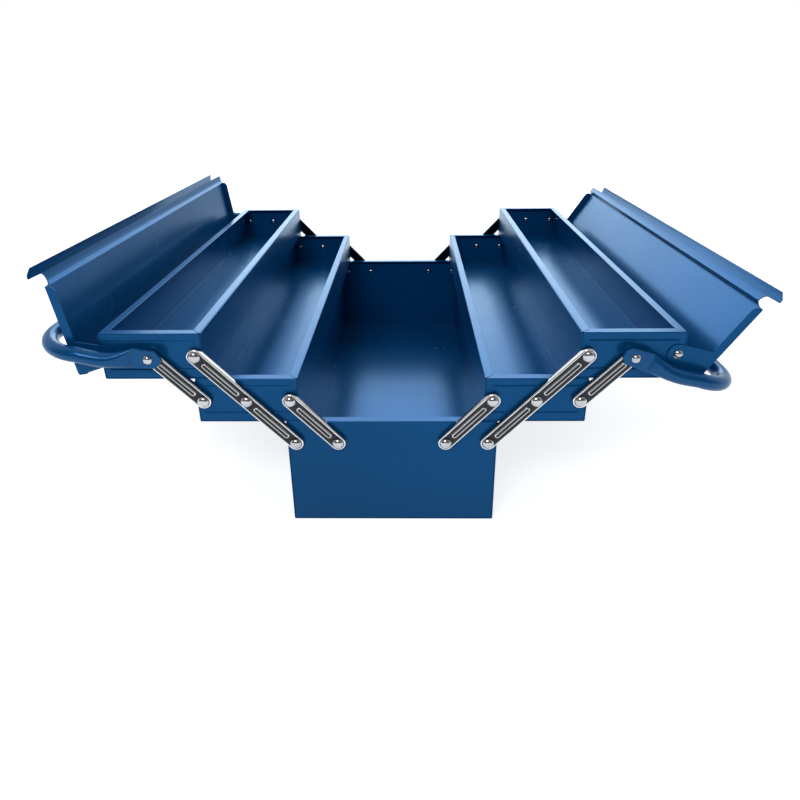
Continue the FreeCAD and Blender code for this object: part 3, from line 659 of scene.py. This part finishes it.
def build_handle(hand, rise):
    mesh = new_mesh()
    sign = 1 if hand == "right" else -1
    leg = Vector((sign * math.cos(rise), 0, math.sin(rise)))
    lift = Vector((-sign * math.sin(rise), 0, math.cos(rise)))
    pivot = Vector((sign * HANDLE_PIVOT, 0, UPPER_LEVEL))
    stations = handle_stations()
    rings = []
    for end, half_bar in ((-1, stations), (1, stations[::-1])):
        for along, line, turn, half, height, square, hang in half_bar:
            thick = leg * math.sin(turn) + Vector((0, end, 0)) * math.cos(turn)
            middle = pivot + leg * along + Vector((0, end * line, 0)) + lift * hang
            ring = []
            for step in range(RING_STEPS):
                angle = 2 * math.pi * (step + 0.5) / RING_STEPS * -end
                spot = middle + thick * half * squared(math.cos(angle), square)
                spot += lift * height * squared(math.sin(angle), square)
                ring.append(mesh.verts.new(spot * MM))
            rings.append(ring)
    count = len(stations)
    for half_bar in (rings[:count], rings[count:]):
        skin(mesh, half_bar, [0] * count)
    bmesh.ops.bridge_loops(mesh, edges=[
        mesh.edges.get((ring[step], ring[(step + 1) % RING_STEPS]))
        for ring in rings[count - 1:count + 1] for step in range(RING_STEPS)])
    mesh.faces.new(rings[0])
    mesh.faces.new(rings[-1])
    node = f"{hand}_handle"
    finish_mesh(mesh, f"{node}_tube", handle_paint, node, node, crease_degrees=30)


build_handle("left", LEFT_RISE)
build_handle("right", RIGHT_RISE)


# Studio. A white floor and backdrop, a room that is dimmer in front, a soft lamp high in front
# and a broad one behind, whose light gives the rims and floors their sheen. The floor takes the
# box's shadow.

FLOOR_SIZE = 12.0
FLOOR_WHITE, FLOOR_GLOW, FLOOR_SHADE = 0.85, 0.76, 0.6
LAMP_AIM = Vector((0, 0, 0.1))


def white_backdrop(tree, plain, bright, output):
    """Show the bright shader to the camera, gloss and clear pieces, and the plain one to the rest."""
    light_path = add_node(tree, "ShaderNodeLightPath", (0, 300))
    seen = calculate(tree, (200, 300), "MAXIMUM", light_path.outputs["Is Camera Ray"],
                     light_path.outputs["Is Glossy Ray"])
    seen = calculate(tree, (400, 300), "MAXIMUM", seen, light_path.outputs["Is Transmission Ray"])
    mix = add_node(tree, "ShaderNodeMixShader", (600, 0))
    tree.links.new(seen, mix.inputs["Fac"])
    tree.links.new(plain, mix.inputs[1])
    tree.links.new(bright, mix.inputs[2])
    tree.links.new(mix.outputs["Shader"], output.inputs["Surface"])


floor_mesh = bpy.data.meshes.new("floor")
corners = [(x * FLOOR_SIZE, y * FLOOR_SIZE, cad_low.z) for x, y in ((-1, -1), (1, -1), (1, 1), (-1, 1))]
floor_mesh.from_pydata(corners, [], [(0, 1, 2, 3)])
floor = bpy.data.objects.new("floor", floor_mesh)
bpy.context.scene.collection.objects.link(floor)
floor_material, tree, shader = new_material("white_floor", Roughness=0.9, Specular_IOR_Level=0.0)
shader.inputs["Base Color"].default_value = (FLOOR_WHITE, FLOOR_WHITE, FLOOR_WHITE, 1)
shade = add_node(tree, "ShaderNodeBsdfDiffuse", (-200, -300))
shade.inputs["Color"].default_value = (FLOOR_SHADE, FLOOR_SHADE, FLOOR_SHADE, 1)
glow = add_node(tree, "ShaderNodeEmission", (-200, -500))
glow.inputs["Strength"].default_value = FLOOR_GLOW
lit = add_node(tree, "ShaderNodeAddShader", (200, -300))
tree.links.new(shade.outputs["BSDF"], lit.inputs[0])
tree.links.new(glow.outputs["Emission"], lit.inputs[1])
white_backdrop(tree, shader.outputs["BSDF"], lit.outputs["Shader"], tree.nodes["Material Output"])
floor_mesh.materials.append(floor_material)

world = bpy.data.worlds.new("studio")
bpy.context.scene.world = world
world.use_nodes = True
tree = world.node_tree
tree.nodes.clear()
way = add_node(tree, "ShaderNodeTexCoord", (-900, 0))
axes = add_node(tree, "ShaderNodeSeparateXYZ", (-700, 0))
tree.links.new(way.outputs["Generated"], axes.inputs["Vector"])
room = add_node(tree, "ShaderNodeBackground", (0, 0))
room.inputs["Color"].default_value = (1, 1, 1, 1)
rearward = remap(tree, (-300, 0), axes.outputs["Y"], low=-0.4, high=0.5, to_low=0.25, to_high=0.6)
tree.links.new(rearward, room.inputs["Strength"])
light_path = add_node(tree, "ShaderNodeLightPath", (-600, -300))
mirrored = remap(tree, (-300, -300), axes.outputs["Y"], low=-0.5, high=0.1, to_low=0.16, to_high=1)
seen_white = calculate(tree, (-100, -300), "MAXIMUM", light_path.outputs["Is Camera Ray"], mirrored)
backdrop = add_node(tree, "ShaderNodeBackground", (0, -200))
backdrop.inputs["Color"].default_value = (1, 1, 1, 1)
tree.links.new(seen_white, backdrop.inputs["Strength"])
output = add_node(tree, "ShaderNodeOutputWorld", (900, 0))
white_backdrop(tree, room.outputs["Background"], backdrop.outputs["Background"], output)


def add_lamp(name, place, size, power, colour):
    lamp = bpy.data.lights.new(name, "AREA")
    lamp.shape = "RECTANGLE"
    lamp.size, lamp.size_y = size
    lamp.energy = power
    lamp.color = colour
    holder = bpy.data.objects.new(name, lamp)
    holder.location = place
    holder.rotation_euler = (LAMP_AIM - Vector(place)).to_track_quat("-Z", "Y").to_euler()
    bpy.context.scene.collection.objects.link(holder)


add_lamp("high_front_softbox", place=(-0.35, -1.5, 1.5), size=(0.9, 0.5), power=13, colour=(1, 1, 1))
add_lamp("rear_softbox", place=(0, 1.75, 1.05), size=(2.4, 1.3), power=34, colour=(0.85, 0.94, 1))


# Camera. Its lens, place and aim come from a fit of the box's own corners and pivots to the
# photograph, an 800 pixel square.

PICTURE = 800
FOCAL_PIXELS = 604.373
HORIZON_PIXELS = 321.02
SENSOR_WIDTH = 36
NEAREST_SEEN = 0.01
CAMERA_PLACE = Vector((17.7, -755.3, 418.2)) * MM
PITCH, YAW, ROLL = (math.radians(angle) for angle in (22.356, -1.03, -0.605))

camera_data = bpy.data.cameras.new("camera")
camera_data.sensor_width = SENSOR_WIDTH
camera_data.lens = FOCAL_PIXELS / PICTURE * SENSOR_WIDTH
camera_data.shift_y = (HORIZON_PIXELS - PICTURE / 2) / PICTURE
camera_data.clip_start = NEAREST_SEEN
camera = bpy.data.objects.new("camera", camera_data)
ahead = Vector((math.sin(YAW) * math.cos(PITCH), math.cos(YAW) * math.cos(PITCH), -math.sin(PITCH)))
level_right = Vector((math.cos(YAW), -math.sin(YAW), 0))
right = Matrix.Rotation(-ROLL, 3, ahead) @ level_right
up = right.cross(ahead)
turned = Matrix((right, up, -ahead)).transposed().to_4x4()
camera.matrix_world = Matrix.Translation(CAMERA_PLACE) @ turned
bpy.context.scene.collection.objects.link(camera)
bpy.context.scene.camera = camera
bpy.context.scene.view_settings.view_transform = "Standard"
